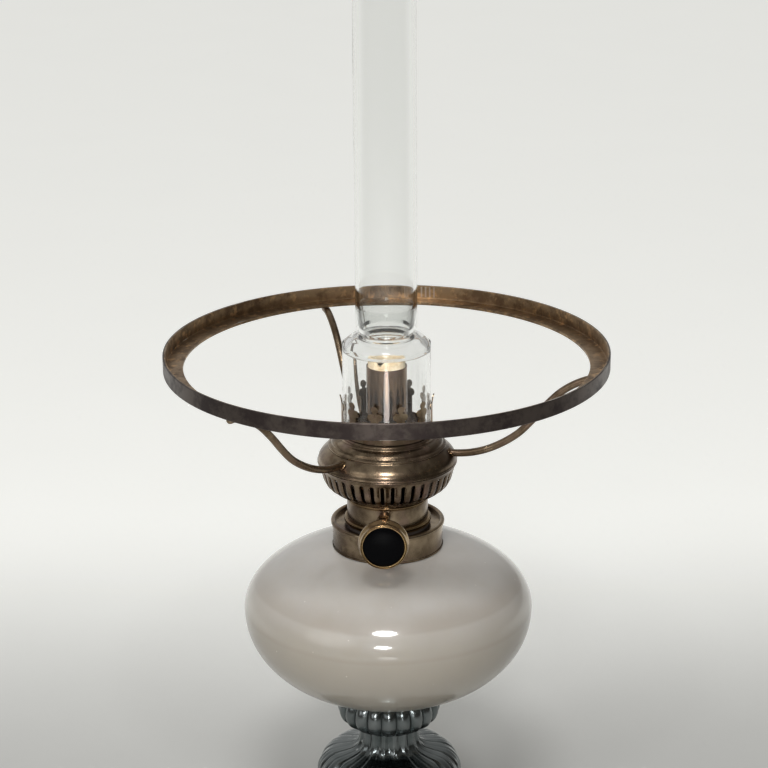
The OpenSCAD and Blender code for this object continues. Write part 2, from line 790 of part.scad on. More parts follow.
module feed_wheels() {
    color([0.6, 0.5, 0.3])
        for (at = [-1.2, 1.2])
            translate([spindle_x, at + cog_t / 2, z_spindle])
                rotate([90, 0, 0])
                    linear_extrude(height = cog_t)
                        difference() {
                            polygon([for (k = [0 : 2 * cog_teeth - 1])
                                let (a = 180 * k / cog_teeth, r = k % 2 == 0 ? cog_r : cog_r - 0.9)
                                [r * cos(a), r * sin(a)]]);
                            circle(r = spindle_r + 0.02);
                        }
}

// Turned knob, widest near its back, with a recess for its dark disc
module knob_rim() {
    face = disc_r + 0.9;
    recess = knob_t - 1.6;
    color([0.62, 0.47, 0.26])
        translate([spindle_x, -knob_back, z_spindle])
            rotate([90, 0, 0])
                rotate_extrude()
                    polygon([[spindle_r + 0.02, -3], [4, -3], [4.2, -0.5], [5, 0], [knob_r - 1.4, 0.6],
                        [knob_r - 0.3, 1.4], [knob_r, 2.2], [knob_r, 3], [knob_r - 0.3, 4], [knob_r - 0.7, 5.2],
                        [face + 0.4, knob_t - 0.3], [face + 0.1, knob_t], [face, knob_t - 0.2], [face, recess],
                        [spindle_r + 0.02, recess]]);
}

module knob_disc() {
    color([0.02, 0.02, 0.02])
        translate([spindle_x, -knob_back - knob_t + 1.6, z_spindle])
            rotate([90, 0, 0])
                rotate_extrude()
                    polygon([[0, 0], [disc_r - 0.05, 0], [disc_r - 0.05, 0.9], [disc_r * 0.8, 1.3],
                        [disc_r * 0.5, 1.6], [disc_r * 0.2, 1.75], [0, 1.8]]);
}

module knob_bezel() {
    color([0.7, 0.6, 0.42])
        translate([spindle_x, -knob_back - knob_t + 1.6, z_spindle])
            rotate([90, 0, 0])
                rotate_extrude()
                    polygon([[disc_r, 0], [disc_r + 0.88, 0], [disc_r + 0.88, 1.1], [disc_r + 0.6, 1.5],
                        [disc_r + 0.2, 1.5], [disc_r, 1.1]]);
}

// Flat wick rolled into a tube, with its seam open below the web
module wick() {
    color([0.9, 0.8, 0.6])
        difference() {
            translate([0, 0, z_wick])
                rotate_extrude()
                    polygon([[wick_in, -wick_len], [wick_out, -wick_len], [wick_out, -1.2], [wick_out - 0.6, -0.3],
                        [(wick_in + wick_out) / 2, 0], [wick_in + 0.5, -0.3], [wick_in, -1.2]]);
            translate([seam_x - seam_w / 2, -tube_r, z_wick - wick_len - 1])
                cube([seam_w, tube_r, seam_top - z_wick + wick_len + 1]);
        }
}

// Outer line of the glass chimney: skirt, rounded shoulder, pinch and upper tube
z_pinch = skirt_h + shoulder_h;
function chimney_line() = concat(
    [[skirt_r, 0], [skirt_r, skirt_h]],
    [for (a = [15 : 15 : 90]) [pinch_r + 2.6 + (skirt_r - pinch_r - 2.6) * cos(a), skirt_h + shoulder_h * sin(a)]],
    [[pinch_r + 0.7, z_pinch + 0.3], [pinch_r, z_pinch + 1.2], [pinch_r, z_pinch + 2.4]],
    [for (t = [0.2 : 0.2 : 1])
        [pinch_r + (glass_r - pinch_r) * sin(90 * t), z_pinch + 2.4 + (pinch_h - 2.4) * t]],
    [[glass_r, chimney_h]]);

module chimney() {
    line = chimney_line();
    color([0.9, 0.95, 0.95, 0.4])
        translate([0, 0, z_gallery])
            rotate_extrude()
                polygon(concat(line, [for (k = [len(line) - 1 : -1 : 0])
                    line[k] - [glass_t, k > 1 && k < 9 ? glass_t : 0]]));
}

felt_pad();
base_plate();
foot_base();
leaf_dome();
tie_rod();
rod_washer();
rod_nut();
petal_cup();
cup_nut();
peg_cement();
glass_font();
neck_cement();
font_collar();
burner_gasket();
burner_screw();
burner_drum();
bead_ring();
air_basket();
burner_shell();
step_cover();
prong_gallery();
air_plate();
outer_wick_tube();
draught_tube();
gland_tube();
gland_nut();
arm_right();
arm_back();
arm_left();
shade_ring();
ring_lap();
arm_rivets();
spindle();
feed_wheels();
knob_rim();
knob_disc();
knob_bezel();
wick();
chimney();
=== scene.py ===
# %% Load the frame
import json
import math
import random

import bmesh
import bpy
from mathutils import Matrix, Vector, noise


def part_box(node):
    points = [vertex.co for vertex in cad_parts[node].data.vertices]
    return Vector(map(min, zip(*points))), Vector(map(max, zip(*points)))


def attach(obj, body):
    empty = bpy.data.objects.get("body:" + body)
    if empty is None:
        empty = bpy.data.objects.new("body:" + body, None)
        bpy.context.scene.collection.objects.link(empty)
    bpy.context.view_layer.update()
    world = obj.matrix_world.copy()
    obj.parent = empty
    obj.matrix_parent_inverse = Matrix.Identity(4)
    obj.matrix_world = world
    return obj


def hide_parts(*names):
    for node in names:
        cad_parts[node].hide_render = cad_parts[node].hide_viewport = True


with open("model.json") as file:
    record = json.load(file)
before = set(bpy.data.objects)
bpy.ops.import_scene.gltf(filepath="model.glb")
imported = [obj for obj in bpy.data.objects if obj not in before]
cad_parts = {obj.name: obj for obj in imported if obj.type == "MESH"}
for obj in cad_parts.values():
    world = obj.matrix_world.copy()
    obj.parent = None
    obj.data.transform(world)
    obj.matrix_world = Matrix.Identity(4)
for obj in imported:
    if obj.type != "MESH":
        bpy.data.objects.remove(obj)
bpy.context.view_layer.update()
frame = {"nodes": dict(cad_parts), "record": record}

MM = 0.001
nodes = frame["nodes"]

# %% [markdown]
# A lamp like this is mostly turned work. The foot, collar, burner, knob, font and chimney
# were spun on a lathe or blown, so one profile swept round an axis gives each of them.
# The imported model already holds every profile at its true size. Its faces are coarse cones
# though, and a polished finish shows each one. So the next cells cut the profile out of a
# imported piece, run a smooth curve through its points and sweep it again in finer steps.
# Everything below is worked out in millimetres and turned into metres in the mesh.

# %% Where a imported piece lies
def reach(node):
    """Lowest height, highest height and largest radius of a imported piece, in mm."""
    low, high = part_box(node)
    return low.z / MM, high.z / MM, max(-low.x, high.x, -low.y, high.y) / MM


def knob_axis():
    """Where the knob's axis crosses the lamp, as (x, z) in mm."""
    low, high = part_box("knob_rim")
    return (low.x + high.x) / 2 / MM, (low.z + high.z) / 2 / MM


KNOB = knob_axis()
print("knob axis at", [round(v, 2) for v in KNOB])

# %% [markdown]
# bisect_plane cuts a copy of the mesh through its axis. The cut leaves loose edges, and
# walking along them from neighbour to neighbour gives the profile in order.

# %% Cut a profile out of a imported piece
def cross_section(node, around_knob=False):
    """A turned piece's profile as (radius, height) points in mm, on one side of its axis."""
    mesh = bmesh.new()
    mesh.from_mesh(nodes[node].data)
    bmesh.ops.remove_doubles(mesh, verts=mesh.verts, dist=1e-6)
    plane_at = Vector((0, 0, KNOB[1] * MM)) if around_knob else Vector((0, 0, 0))
    normal = Vector((0, 0, 1)) if around_knob else Vector((0, 1, 0))
    geometry = mesh.verts[:] + mesh.edges[:] + mesh.faces[:]
    cut = bmesh.ops.bisect_plane(mesh, geom=geometry, plane_co=plane_at, plane_no=normal)
    links = {}
    for edge in cut["geom_cut"]:
        if not isinstance(edge, bmesh.types.BMEdge):
            continue
        ends = []
        for vertex in edge.verts:
            x, y, z = vertex.co / MM
            point = (x - KNOB[0], -y) if around_knob else (x, z)
            ends.append((round(point[0], 3), round(point[1], 3)))
        if ends[0] != ends[1] and min(ends[0][0], ends[1][0]) > -0.002:
            links.setdefault(ends[0], set()).add(ends[1])
            links.setdefault(ends[1], set()).add(ends[0])
    mesh.free()
    loose = [p for p in links if len(links[p]) == 1]
    walk = [min(loose or links)]
    before = None
    while True:
        ahead = sorted(p for p in links[walk[-1]] if p != before and p not in walk)
        if not ahead:
            break
        before = walk[-1]
        walk.append(ahead[0])
    return without_straights(walk, closed=not loose)


def without_straights(points, closed):
    """Drops the points that lie on a straight line between their neighbours."""
    kept = []
    for i, point in enumerate(points):
        inside = closed or 0 < i < len(points) - 1
        a, b = Vector(points[i - 1]), Vector(points[(i + 1) % len(points)])
        here = Vector(point)
        if not inside or (here - a).angle(b - here, 0) > math.radians(1):
            kept.append(point)
    return kept


print("points in the collar's profile:", len(cross_section("font_collar")))

# %% [markdown]
# A Catmull-Rom curve passes through every point that it is given, which suits a profile
# measured on a real piece. A real corner has to stay a corner though, so the curve is
# broken where the profile turns sharply, and each corner gets a small round of its own.
# That round matters more than its size suggests: it is what catches the light on an edge.

# %% Make a profile smooth between its corners
def on_curve(a, b, c, d, t):
    """A point between b and c on the smooth curve through four points."""
    return 0.5 * (2 * b + (c - a) * t + (2 * a - 5 * b + 4 * c - d) * t * t
                  + (3 * b - 3 * c + d - a) * t ** 3)


def smooth_run(points, step):
    """The curve through a run of points, with a point about every step."""
    found = []
    last = len(points) - 1
    for k in range(last):
        a, b = points[max(k - 1, 0)], points[k]
        c, d = points[k + 1], points[min(k + 2, last)]
        parts = max(3, math.ceil((c - b).length / step))
        found += [on_curve(a, b, c, d, s / parts) for s in range(parts)]
    return found + [points[-1]]


def rounded(before, corner, after, radius, parts=4):
    """A small curve in place of a corner."""
    back, ahead = before - corner, after - corner
    start = corner + back.normalized() * min(radius, 0.45 * back.length)
    end = corner + ahead.normalized() * min(radius, 0.45 * ahead.length)
    return [start.lerp(corner, t / parts).lerp(corner.lerp(end, t / parts), t / parts)
            for t in range(parts + 1)]


def smooth_profile(points, closed=True, step=1.2, corner=42, radius=0.18):
    """A profile made finer: curves between its corners and a small round on each corner."""
    points = [Vector(p) for p in points]
    count = len(points)

    def is_corner(i):
        if not closed and i in (0, count - 1):
            return True
        into, out = points[i] - points[i - 1], points[(i + 1) % count] - points[i]
        return into.angle(out, 0) > math.radians(corner)

    corners = [i for i in range(count) if is_corner(i)] or [0]
    runs = []
    for i, start in enumerate(corners):
        end = corners[(i + 1) % len(corners)]
        if not closed and end <= start:
            continue
        stop = end if end > start else end + count
        runs.append(smooth_run([points[k % count] for k in range(start, stop + 1)], step))
    found = []
    for i, run in enumerate(runs):
        if closed or i > 0:
            found += rounded(runs[i - 1][-2], run[0], run[1], radius)
        else:
            found.append(run[0])
        found += run[1:-1]
    return found if closed else found + [runs[-1][-1]]


print("points in the finer profile:", len(smooth_profile(cross_section("font_collar"))))

# %% [markdown]
# Every piece goes through one function that links it, shades it and tells the frame which
# body carries it. Edges sharper than 30 degrees stay crisp and the rest shade smoothly.

# %% Finish a mesh as a piece of the lamp
def as_piece(name, mesh, body, slot, stands_for=()):
    """Makes an object of a bmesh, gives it its slot's finish and lets it ride on a body."""
    bmesh.ops.recalc_face_normals(mesh, faces=mesh.faces)
    data = bpy.data.meshes.new(name)
    mesh.to_mesh(data)
    mesh.free()
    for face in data.polygons:
        face.use_smooth = True
    data.set_sharp_from_angle(angle=math.radians(30))
    piece = bpy.data.objects.new(name, data)
    bpy.context.scene.collection.objects.link(piece)
    piece.data.materials.append(FINISH_OF[slot])
    if stands_for:
        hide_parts(*stands_for)
    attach(piece, body)
    return piece


def skin(mesh, rings, closed):
    """Faces between copies of a profile that stand all the way round an axis."""
    count = len(rings[0])
    for here, ahead in zip(rings, rings[1:] + rings[:1]):
        for i in range(count if closed else count - 1):
            j = (i + 1) % count
            mesh.faces.new((here[i], here[j], ahead[j], ahead[i]))


def strip(mesh, rows):
    """Faces between the rows of a bent strip."""
    for a, b in zip(rows, rows[1:]):
        for c in range(len(a) - 1):
            mesh.faces.new((a[c], a[c + 1], b[c + 1], b[c]))


def sweep(profile, closed, turns, place):
    """A profile swept round an axis. place says where a radius, height and angle lie."""
    mesh = bmesh.new()
    rings = []
    for k in range(turns):
        angle = 2 * math.pi * k / turns
        rings.append([mesh.verts.new(Vector(place(p[0], p[1], angle)) * MM) for p in profile])
    skin(mesh, rings, closed)
    bmesh.ops.remove_doubles(mesh, verts=mesh.verts, dist=2e-6)
    return mesh


def upright(radius, height, angle):
    return radius * math.cos(angle), radius * math.sin(angle), height


def towards_viewer(radius, height, angle):
    return KNOB[0] + radius * math.cos(angle), -height, KNOB[1] + radius * math.sin(angle)


def turned(name, node, body, slot, turns=144, knob=False, **curve):
    """A packed turned piece, swept again with a smooth profile."""
    points = cross_section(node, knob)
    closed = min(p[0] for p in points) > 0.05
    profile = smooth_profile(points, closed, **curve)
    mesh = sweep(profile, closed, turns, towards_viewer if knob else upright)
    return as_piece(name, mesh, body, slot, (node,))

# %% [markdown]
# The finishes are written as sums. A small class wraps a shader socket, so that a line such
# as stain * 0.4 + 0.1 adds the Math nodes that it stands for. Colours can't go through a
# Math node, which would turn them grey, so they are mixed by a Mix node instead.

# %% Shader sums
class Value:
    """A shader socket that takes part in Python sums."""

    def __init__(self, finish, socket):
        self.finish, self.socket = finish, socket

    def math(self, operation, *others):
        inputs = dict(enumerate((self, *others)))
        return self.finish.node("ShaderNodeMath", {"operation": operation}, inputs)

    def __add__(self, other):
        return self.math("ADD", other)

    def __mul__(self, other):
        return self.math("MULTIPLY", other)

    def __sub__(self, other):
        return self.math("SUBTRACT", other)

    def __rsub__(self, other):
        return self * -1 + other

    __radd__, __rmul__ = __add__, __mul__


class Finish:
    """A material under construction, or the world's own shader."""

    def __init__(self, name, owner=None):
        self.material = owner or bpy.data.materials.new(name)
        self.material.use_nodes = True
        self.tree = self.material.node_tree
        self.tree.nodes.clear()

    def node(self, kind, settings=None, sockets=None, out=0):
        """Adds a node: its settings first, then the values or links of its sockets."""
        made = self.tree.nodes.new(kind)
        for key, value in (settings or {}).items():
            setattr(made, key, value)
        for key, value in (sockets or {}).items():
            if isinstance(value, Value):
                self.tree.links.new(value.socket, made.inputs[key])
            else:
                made.inputs[key].default_value = value
        return Value(self, made.outputs[out]) if len(made.outputs) else None

    def place(self):
        """The point on the surface, in the lamp's own frame and in metres."""
        return self.node("ShaderNodeTexCoord", out="Object")

    def stretched(self, scale):
        """The point on the surface with its axes stretched, for brushed and turned marks."""
        return self.node("ShaderNodeMapping", None, {"Vector": self.place(), "Scale": scale})

    def cloud(self, size, detail=4, rough=0.55, at=None, seed=0.0):
        """Cloudy noise from 0 to 1 whose patches are about size millimetres across."""
        sockets = {"W": seed, "Scale": 1 / (size * MM), "Detail": detail, "Roughness": rough}
        sockets["Vector"] = at or self.place()
        return self.node("ShaderNodeTexNoise", {"noise_dimensions": "4D"}, sockets)

    def between(self, value, low, high):
        """0 below low, 1 above high and a smooth step in between."""
        return self.node("ShaderNodeMapRange", {"interpolation_type": "SMOOTHSTEP"},
                         {"Value": value, "From Min": low, "From Max": high})

    def blend(self, share, first, second):
        """A colour between two others. A Mix node's colours are its sockets 6 and 7."""
        first, second = (c if isinstance(c, Value) else (*c, 1) for c in (first, second))
        return self.node("ShaderNodeMix", {"data_type": "RGBA"},
                         {0: share, 6: first, 7: second}, out=2)

    def bump(self, height, depth):
        """A bump of so many millimetres."""
        return self.node("ShaderNodeBump", None,
                         {"Height": height, "Distance": depth * MM, "Strength": 1.0})

    def shader(self, **sockets):
        """The Principled shader. Underscores stand for the spaces in its sockets' names."""
        named = {key.replace("_", " "): value for key, value in sockets.items()}
        for key, value in named.items():
            if isinstance(value, tuple) and len(value) == 3 and "Color" in key:
                named[key] = (*value, 1)
        return self.node("ShaderNodeBsdfPrincipled", None, named)

    def done(self, surface):
        self.node("ShaderNodeOutputMaterial", None, {"Surface": surface})
        return self.material


# %% [markdown]
# Old lacquered brass is not one colour. The lacquer keeps some of it golden, and where it
# has gone the metal turns olive, brown and faintly pink. Three clouds of different sizes
# mix those tones. Fine rings left by the lathe follow from noise stretched flat, so that it
# changes fast with height and hardly at all round the piece.

# %% Brass finishes
STAINED_FROM, STAINED_TO = 0.35, 0.61
LATHE_DEPTH = 0.012


def brass(name, gold, brown, rose, rough):
    """Turned brass with patches of tarnish, smudges and lathe rings."""
    finish = Finish(name)
    broad = finish.cloud(22, 3, seed=1.7)
    fine = finish.cloud(3.2, 6, 0.62, seed=4.1)
    stain = finish.between(broad * 0.65 + fine * 0.35, STAINED_FROM, STAINED_TO)
    warm = finish.between(finish.cloud(11, 4, seed=8.3), 0.46, 0.66)
    colour = finish.blend(warm * 0.7, finish.blend(stain, gold, brown), rose)
    specks = finish.between(finish.cloud(0.7, 2, seed=2.2), 0.68, 0.76)
    colour = finish.blend(specks * 0.55, colour, tuple(0.35 * v for v in brown))
    rings = finish.cloud(1, 3, 0.5, at=finish.stretched((0.02, 0.02, 1.9)), seed=3.0)
    smudge = finish.cloud(7, 5, 0.6, seed=6.6)
    roughness = stain * 0.10 + smudge * 0.16 + (rough - 0.10)
    normal = finish.bump(rings * 0.7 + fine * 0.3, LATHE_DEPTH)
    return finish.done(finish.shader(
        Base_Color=colour, Metallic=1.0, Roughness=roughness, Normal=normal))


antique_brass = brass("antique_brass", (0.34, 0.262, 0.175), (0.105, 0.074, 0.048),
                      (0.235, 0.158, 0.128), 0.21)
bright_brass = brass("bright_brass", (0.36, 0.255, 0.135), (0.115, 0.074, 0.038),
                     (0.27, 0.165, 0.10), 0.19)
knob_brass = brass("knob_brass", (0.36, 0.25, 0.12), (0.18, 0.115, 0.055),
                   (0.28, 0.18, 0.095), 0.22)
arm_brass = brass("arm_brass", (0.30, 0.225, 0.15), (0.10, 0.068, 0.042),
                  (0.22, 0.15, 0.11), 0.25)
copper_bronze = brass("copper_bronze", (0.24, 0.16, 0.105), (0.085, 0.052, 0.034),
                      (0.24, 0.15, 0.12), 0.17)
print("brass finishes:", [m.name for m in (
    antique_brass, bright_brass, knob_brass, arm_brass, copper_bronze)])

# %% [markdown]
# The shade ring was bronzed dark. Its outside has been wiped to a dull grey brown, and its
# inside, which sees the heat, is a warmer and blotchy brown. The mask between them asks how
# far a point lies from the lamp's axis, which is the length of its x and y taken together.
# Pointiness, which Cycles works out from the mesh, finds the edges, which are painted lighter:
# partly rubbed wear, partly a painted highlight.

# %% Dark bronze for the shade ring
def ring_bronze():
    finish = Finish("dark_bronze")
    flat = finish.node("ShaderNodeVectorMath", {"operation": "MULTIPLY"},
                       {0: finish.place(), 1: (1, 1, 0)})
    length = finish.node("ShaderNodeVectorMath", {"operation": "LENGTH"}, {0: flat}, out="Value")
    ring_r = reach("shade_ring")[2]
    outside = finish.between(length, (ring_r - 0.9) * MM, (ring_r - 0.4) * MM)
    blotch = finish.between(finish.cloud(9, 6, 0.68, seed=5.0), 0.40, 0.62)
    rust = finish.between(finish.cloud(3.5, 5, 0.6, seed=9.0), 0.52, 0.68)
    brown = finish.blend(blotch, (0.34, 0.235, 0.14), (0.17, 0.112, 0.066))
    inner = finish.blend(rust * 0.85, brown, (0.60, 0.385, 0.20))
    outer = finish.blend(blotch, (0.105, 0.086, 0.076), (0.055, 0.043, 0.041))
    colour = finish.blend(outside, inner, outer)
    point = finish.node("ShaderNodeNewGeometry", out="Pointiness")
    # Painted highlight: the edges are painted a light brown, along with rubbed wear.
    colour = finish.blend(finish.between(point, 0.52, 0.58) * 0.8, colour, (0.55, 0.50, 0.44))
    scratches = finish.cloud(1, 4, 0.7, at=finish.stretched((0.1, 0.1, 3.5)), seed=1.0)
    roughness = blotch * 0.10 + scratches * 0.08 + 0.33
    return finish.done(finish.shader(
        Base_Color=colour, Metallic=1.0, Roughness=roughness,
        Normal=finish.bump(scratches * 0.6 + rust * 0.4, 0.02)))


dark_bronze = ring_bronze()

# %% [markdown]
# The casting is a dark polished pewter. Its hollows are made almost black, and its high edges
# are painted lighter, partly rubbed wear and partly a painted highlight. Pointiness tells the
# two apart here too.

# %% Pewter for the foot and cup
def pewter_casting():
    finish = Finish("pewter")
    point = finish.node("ShaderNodeNewGeometry", out="Pointiness")
    # Painted highlight: the ridges are painted lighter, along with rubbed wear. The hollows are
    # made much darker.
    ridge_wear_and_highlight = finish.between(point, 0.50, 0.56)
    hollow = 1 - finish.between(point, 0.44, 0.50)
    cloudy = finish.cloud(14, 5, 0.6, seed=2.0)
    grain = finish.cloud(0.9, 4, 0.6, seed=7.0)
    body = finish.blend(finish.between(cloudy, 0.35, 0.7), (0.15, 0.165, 0.166),
                        (0.085, 0.10, 0.10))
    colour = finish.blend(hollow * 0.75, finish.blend(ridge_wear_and_highlight * 0.7, body, (0.55, 0.57, 0.575)),
                          (0.028, 0.034, 0.034))
    roughness = cloudy * 0.14 + grain * 0.08 + hollow * 0.2 + 0.12
    return finish.done(finish.shader(
        Base_Color=colour, Metallic=1.0, Roughness=roughness,
        Normal=finish.bump(cloudy * 0.6 + grain * 0.4, 0.05)))


pewter = pewter_casting()

# %% [markdown]
# The font is a blown cloudy glass. Light goes a little way in and comes out softened, which
# is what subsurface scattering is for, and a coat over it gives the hard gloss of glass.
# Its colour is painted lighter towards the top, as painted light from above. A broad brown
# band a little above the widest part is a painted reflection of the shade ring, and a faint
# one lies at the widest part. A few seeds, which are tiny bubbles, are painted pale as a
# painted glint and bump the surface a little.

# %% Cloudy glass for the font
SEEDS_PER_M = 120


def widest(node):
    """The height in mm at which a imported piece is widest."""
    return max((v.co.x, v.co.z / MM) for v in nodes[node].data.vertices)[1]


def milk_glass_finish():
    finish = Finish("milk_glass")
    height = finish.node("ShaderNodeSeparateXYZ", None, {"Vector": finish.place()}, out="Z")
    equator = widest("glass_font")
    sway = finish.cloud(60, 2, seed=3.3) * 2.4 * MM
    level = (height + sway) * (1 / MM) - (equator + 1.2)
    # Painted reflection: the brown band a little above the widest part stands for the shade ring
    # mirrored in the glass. The faint band at the widest part is only darker.
    ring_reflection_band = finish.between(level, 10.5, 12.2) * (1 - finish.between(level, 13, 20))
    lower = finish.between(level, -1.2, 0.4) * (1 - finish.between(level, 0.4, 2.6))
    cloudy = finish.cloud(30, 4, 0.6, seed=1.1)
    # Painted light: the glass is painted lighter towards the top, as if lit from above.
    top = finish.between(level, -6, 22)
    body = finish.blend(top, (0.38, 0.345, 0.295), (0.52, 0.495, 0.465))
    body = finish.blend(finish.between(cloudy, 0.3, 0.8) * 0.4, body, (0.39, 0.35, 0.285))
    colour = finish.blend(ring_reflection_band * 0.28 + lower * 0.15, body, (0.28, 0.22, 0.165))
    seeds = finish.node("ShaderNodeTexVoronoi", {"feature": "F1"},
                        {"Vector": finish.place(), "Scale": SEEDS_PER_M, "Randomness": 1.0},
                        out="Distance")
    # Painted highlight: each seed is painted pale as a glint, and the same mask bumps the
    # surface.
    seed_glint_and_bump = 1 - finish.between(seeds, 0.02, 0.055)
    colour = finish.blend(seed_glint_and_bump * 0.5, colour, (0.80, 0.78, 0.72))
    ripple = finish.cloud(26, 2, 0.5, seed=2.9)
    return finish.done(finish.shader(
        Base_Color=colour, Roughness=0.3, Specular_IOR_Level=0.3, Subsurface_Weight=0.35,
        Subsurface_Radius=(1.0, 0.9, 0.8), Subsurface_Scale=0.006, Coat_Weight=0.8,
        Coat_Roughness=0.035, IOR=1.5,
        Normal=finish.bump(ripple + seed_glint_and_bump * 0.12, 0.25)))


milk_glass = milk_glass_finish()
print("the font is widest at", round(widest("glass_font"), 1), "mm")

# %% [markdown]
# The chimney is clear glass with a real wall, so Cycles bends light through it twice. Its
# shadow is the exception: a lamp's light doesn't reach what is inside a refracting tube
# without a great many samples, so shadow rays pass straight through.

# %% Clear glass for the chimney
def chimney_glass_finish():
    finish = Finish("clear_glass")
    ripple = finish.cloud(34, 2, 0.4, at=finish.stretched((1, 1, 0.35)), seed=6.0)
    glass = finish.shader(
        Base_Color=(0.985, 0.99, 0.985), Roughness=0.0, Transmission_Weight=1.0, IOR=1.46,
        Normal=finish.bump(ripple, 0.35))
    clear = finish.node("ShaderNodeBsdfTransparent", None, {"Color": (0.95, 0.955, 0.95, 1)})
    shadow = finish.node("ShaderNodeLightPath", out="Is Shadow Ray")
    return finish.done(finish.node("ShaderNodeMixShader", None, {0: shadow, 1: glass, 2: clear}))


clear_glass = chimney_glass_finish()

# %% [markdown]
# The small finishes are the cotton of the wick, black enamel, and the felt, steel, plaster
# and gasket that hardly show. Each still gets grain of its own, because a plain colour
# reads as plastic from close up.

# %% Cotton, enamel and the hidden finishes
def cotton():
    finish = Finish("cotton_wick")
    weave = finish.node("ShaderNodeTexWave", {"wave_type": "BANDS", "bands_direction": "Z"},
                        {"Vector": finish.place(), "Scale": 420, "Distortion": 3.0,
                         "Detail": 3.0, "Detail Scale": 2.0})
    tuft = finish.cloud(1.1, 5, 0.65, seed=1.0)
    stain = finish.between(finish.cloud(3.4, 4, 0.6, seed=5.5), 0.42, 0.66)
    colour = finish.blend(tuft, (0.62, 0.46, 0.25), (0.97, 0.90, 0.72))
    colour = finish.blend(stain * 0.6, colour, (0.55, 0.36, 0.16))
    return finish.done(finish.shader(
        Base_Color=colour, Roughness=0.95, Sheen_Weight=0.3,
        Normal=finish.bump(weave * 0.5 + tuft * 0.5, 0.3)))


def enamel():
    finish = Finish("black_enamel")
    haze = finish.cloud(3, 5, 0.6, seed=2.0)
    dust = finish.between(finish.cloud(0.5, 2, seed=3.0), 0.70, 0.78)
    colour = finish.blend(dust * 0.15, (0.0015, 0.0015, 0.002), (0.10, 0.10, 0.10))
    return finish.done(finish.shader(
        Base_Color=colour, Roughness=haze * 0.1 + 0.2, Specular_IOR_Level=0.04,
        Normal=finish.bump(haze, 0.02)))


def plain(name, dark, light, rough, metallic=0.0, size=1.2, depth=0.06):
    """A grainy finish of two tones."""
    finish = Finish(name)
    grain = finish.cloud(size, 6, 0.65, seed=1.5)
    broad = finish.cloud(size * 9, 3, seed=2.5)
    colour = finish.blend(grain * 0.6 + broad * 0.4, dark, light)
    return finish.done(finish.shader(
        Base_Color=colour, Metallic=metallic, Roughness=grain * 0.15 + (rough - 0.07),
        Normal=finish.bump(grain, depth)))


cotton_wick, black_enamel = cotton(), enamel()
felt = plain("felt", (0.05, 0.10, 0.065), (0.10, 0.19, 0.125), 0.95, size=0.5, depth=0.25)
plain_steel = plain("plain_steel", (0.50, 0.50, 0.50), (0.62, 0.62, 0.61), 0.36, 1.0, size=2.0)
plaster = plain("plaster", (0.72, 0.68, 0.60), (0.84, 0.81, 0.74), 0.92)
gasket_rubber = plain("gasket_rubber", (0.015, 0.012, 0.01), (0.04, 0.03, 0.025), 0.8)
FINISH_OF = dict(
    antique_brass=antique_brass, bright_brass=bright_brass, knob_brass=knob_brass,
    arm_brass=arm_brass, copper_bronze=copper_bronze, dark_bronze=dark_bronze, pewter=pewter,
    milk_glass=milk_glass, clear_glass=clear_glass, cotton_wick=cotton_wick,
    black_enamel=black_enamel, felt=felt, plain_steel=plain_steel, plaster=plaster,
    gasket_rubber=gasket_rubber)
print("finishes:", len(FINISH_OF))

# %% [markdown]
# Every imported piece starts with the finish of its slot. Some stay as they are, because they
# are hidden or simple. The ones that show are swept or built again in the cells below.

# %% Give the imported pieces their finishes
for part in frame["record"]["subparts"]:
    mesh_data = nodes[part["node"]].data
    mesh_data.materials.clear()
    mesh_data.materials.append(FINISH_OF[part["material_slot"]])

# %% [markdown]
# The turned pieces need no more than a name and a finish now. The step says how fine the
# curve is and the radius how sharp its corners stay.

# %% Turn the foot, collar, burner and knob again
turned("base_casting", "foot_base", "stand", "pewter", radius=0.5)
turned("collar", "font_collar", "stand", "antique_brass", corner=55)
turned("burner_floor", "burner_screw", "burner", "bright_brass", radius=0.35)
turned("drum_bead", "bead_ring", "burner", "bright_brass", step=0.3, corner=70)
turned("upper_shell", "burner_shell", "burner", "antique_brass", corner=60, step=0.6)
turned("stepped_cover", "step_cover", "burner", "antique_brass", corner=75, step=0.4)
turned("wick_tube", "outer_wick_tube", "burner", "copper_bronze", 96, radius=0.15)
turned("band", "shade_ring", "burner", "dark_bronze", 288, radius=0.25)
turned("knob_body", "knob_rim", "knob", "knob_brass", 96, True, corner=50, step=0.5)
turned("enamel_disc", "knob_disc", "knob", "black_enamel", 96, True, corner=60)
turned("knob_edge", "knob_bezel", "knob", "knob_brass", 96, True, radius=0.2)

# %% [markdown]
# Glass is turned the same way, but with no corner left sharp: a blown edge is fire
# polished until it is round.

# %% Turn the glass
turned("font", "glass_font", "stand", "milk_glass", 192, corner=50, radius=0.8)
turned("chimney_tube", "chimney", "chimney", "clear_glass", 160, corner=60, radius=0.7)

# %% [markdown]
# The drum is a plain pressed tube, turned like the rest. What is inside it is hidden and
# stays as packed. The gland's tube and nut and the lap of the ring keep their packed
# shapes too, but a small bevel takes the knife edge off their corners, because no real
# edge is perfectly sharp.

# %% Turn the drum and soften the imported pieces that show
def soften(node, width):
    """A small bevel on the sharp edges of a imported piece."""
    bevel = nodes[node].modifiers.new("worn_edges", "BEVEL")
    bevel.width, bevel.segments = width * MM, 2
    bevel.limit_method, bevel.angle_limit = "ANGLE", math.radians(35)


turned("drum", "burner_drum", "burner", "antique_brass", radius=0.2)
soften("gland_nut", 0.25)
soften("gland_tube", 0.2)
soften("ring_lap", 0.12)

# %% [markdown]
# The basket lets air in to the flame. On the real lamp it was drawn from one disc and its
# slots were punched, which leaves flat ribs with crisp round-ended gaps. A Boolean would
# need forty cutters. Here the sheet is laid out rib by rib instead: each rib is a strip
# whose two sides follow the edge of a slot, and neighbours meet above and below the slots.
# A Solidify modifier then gives the sheet its thickness.

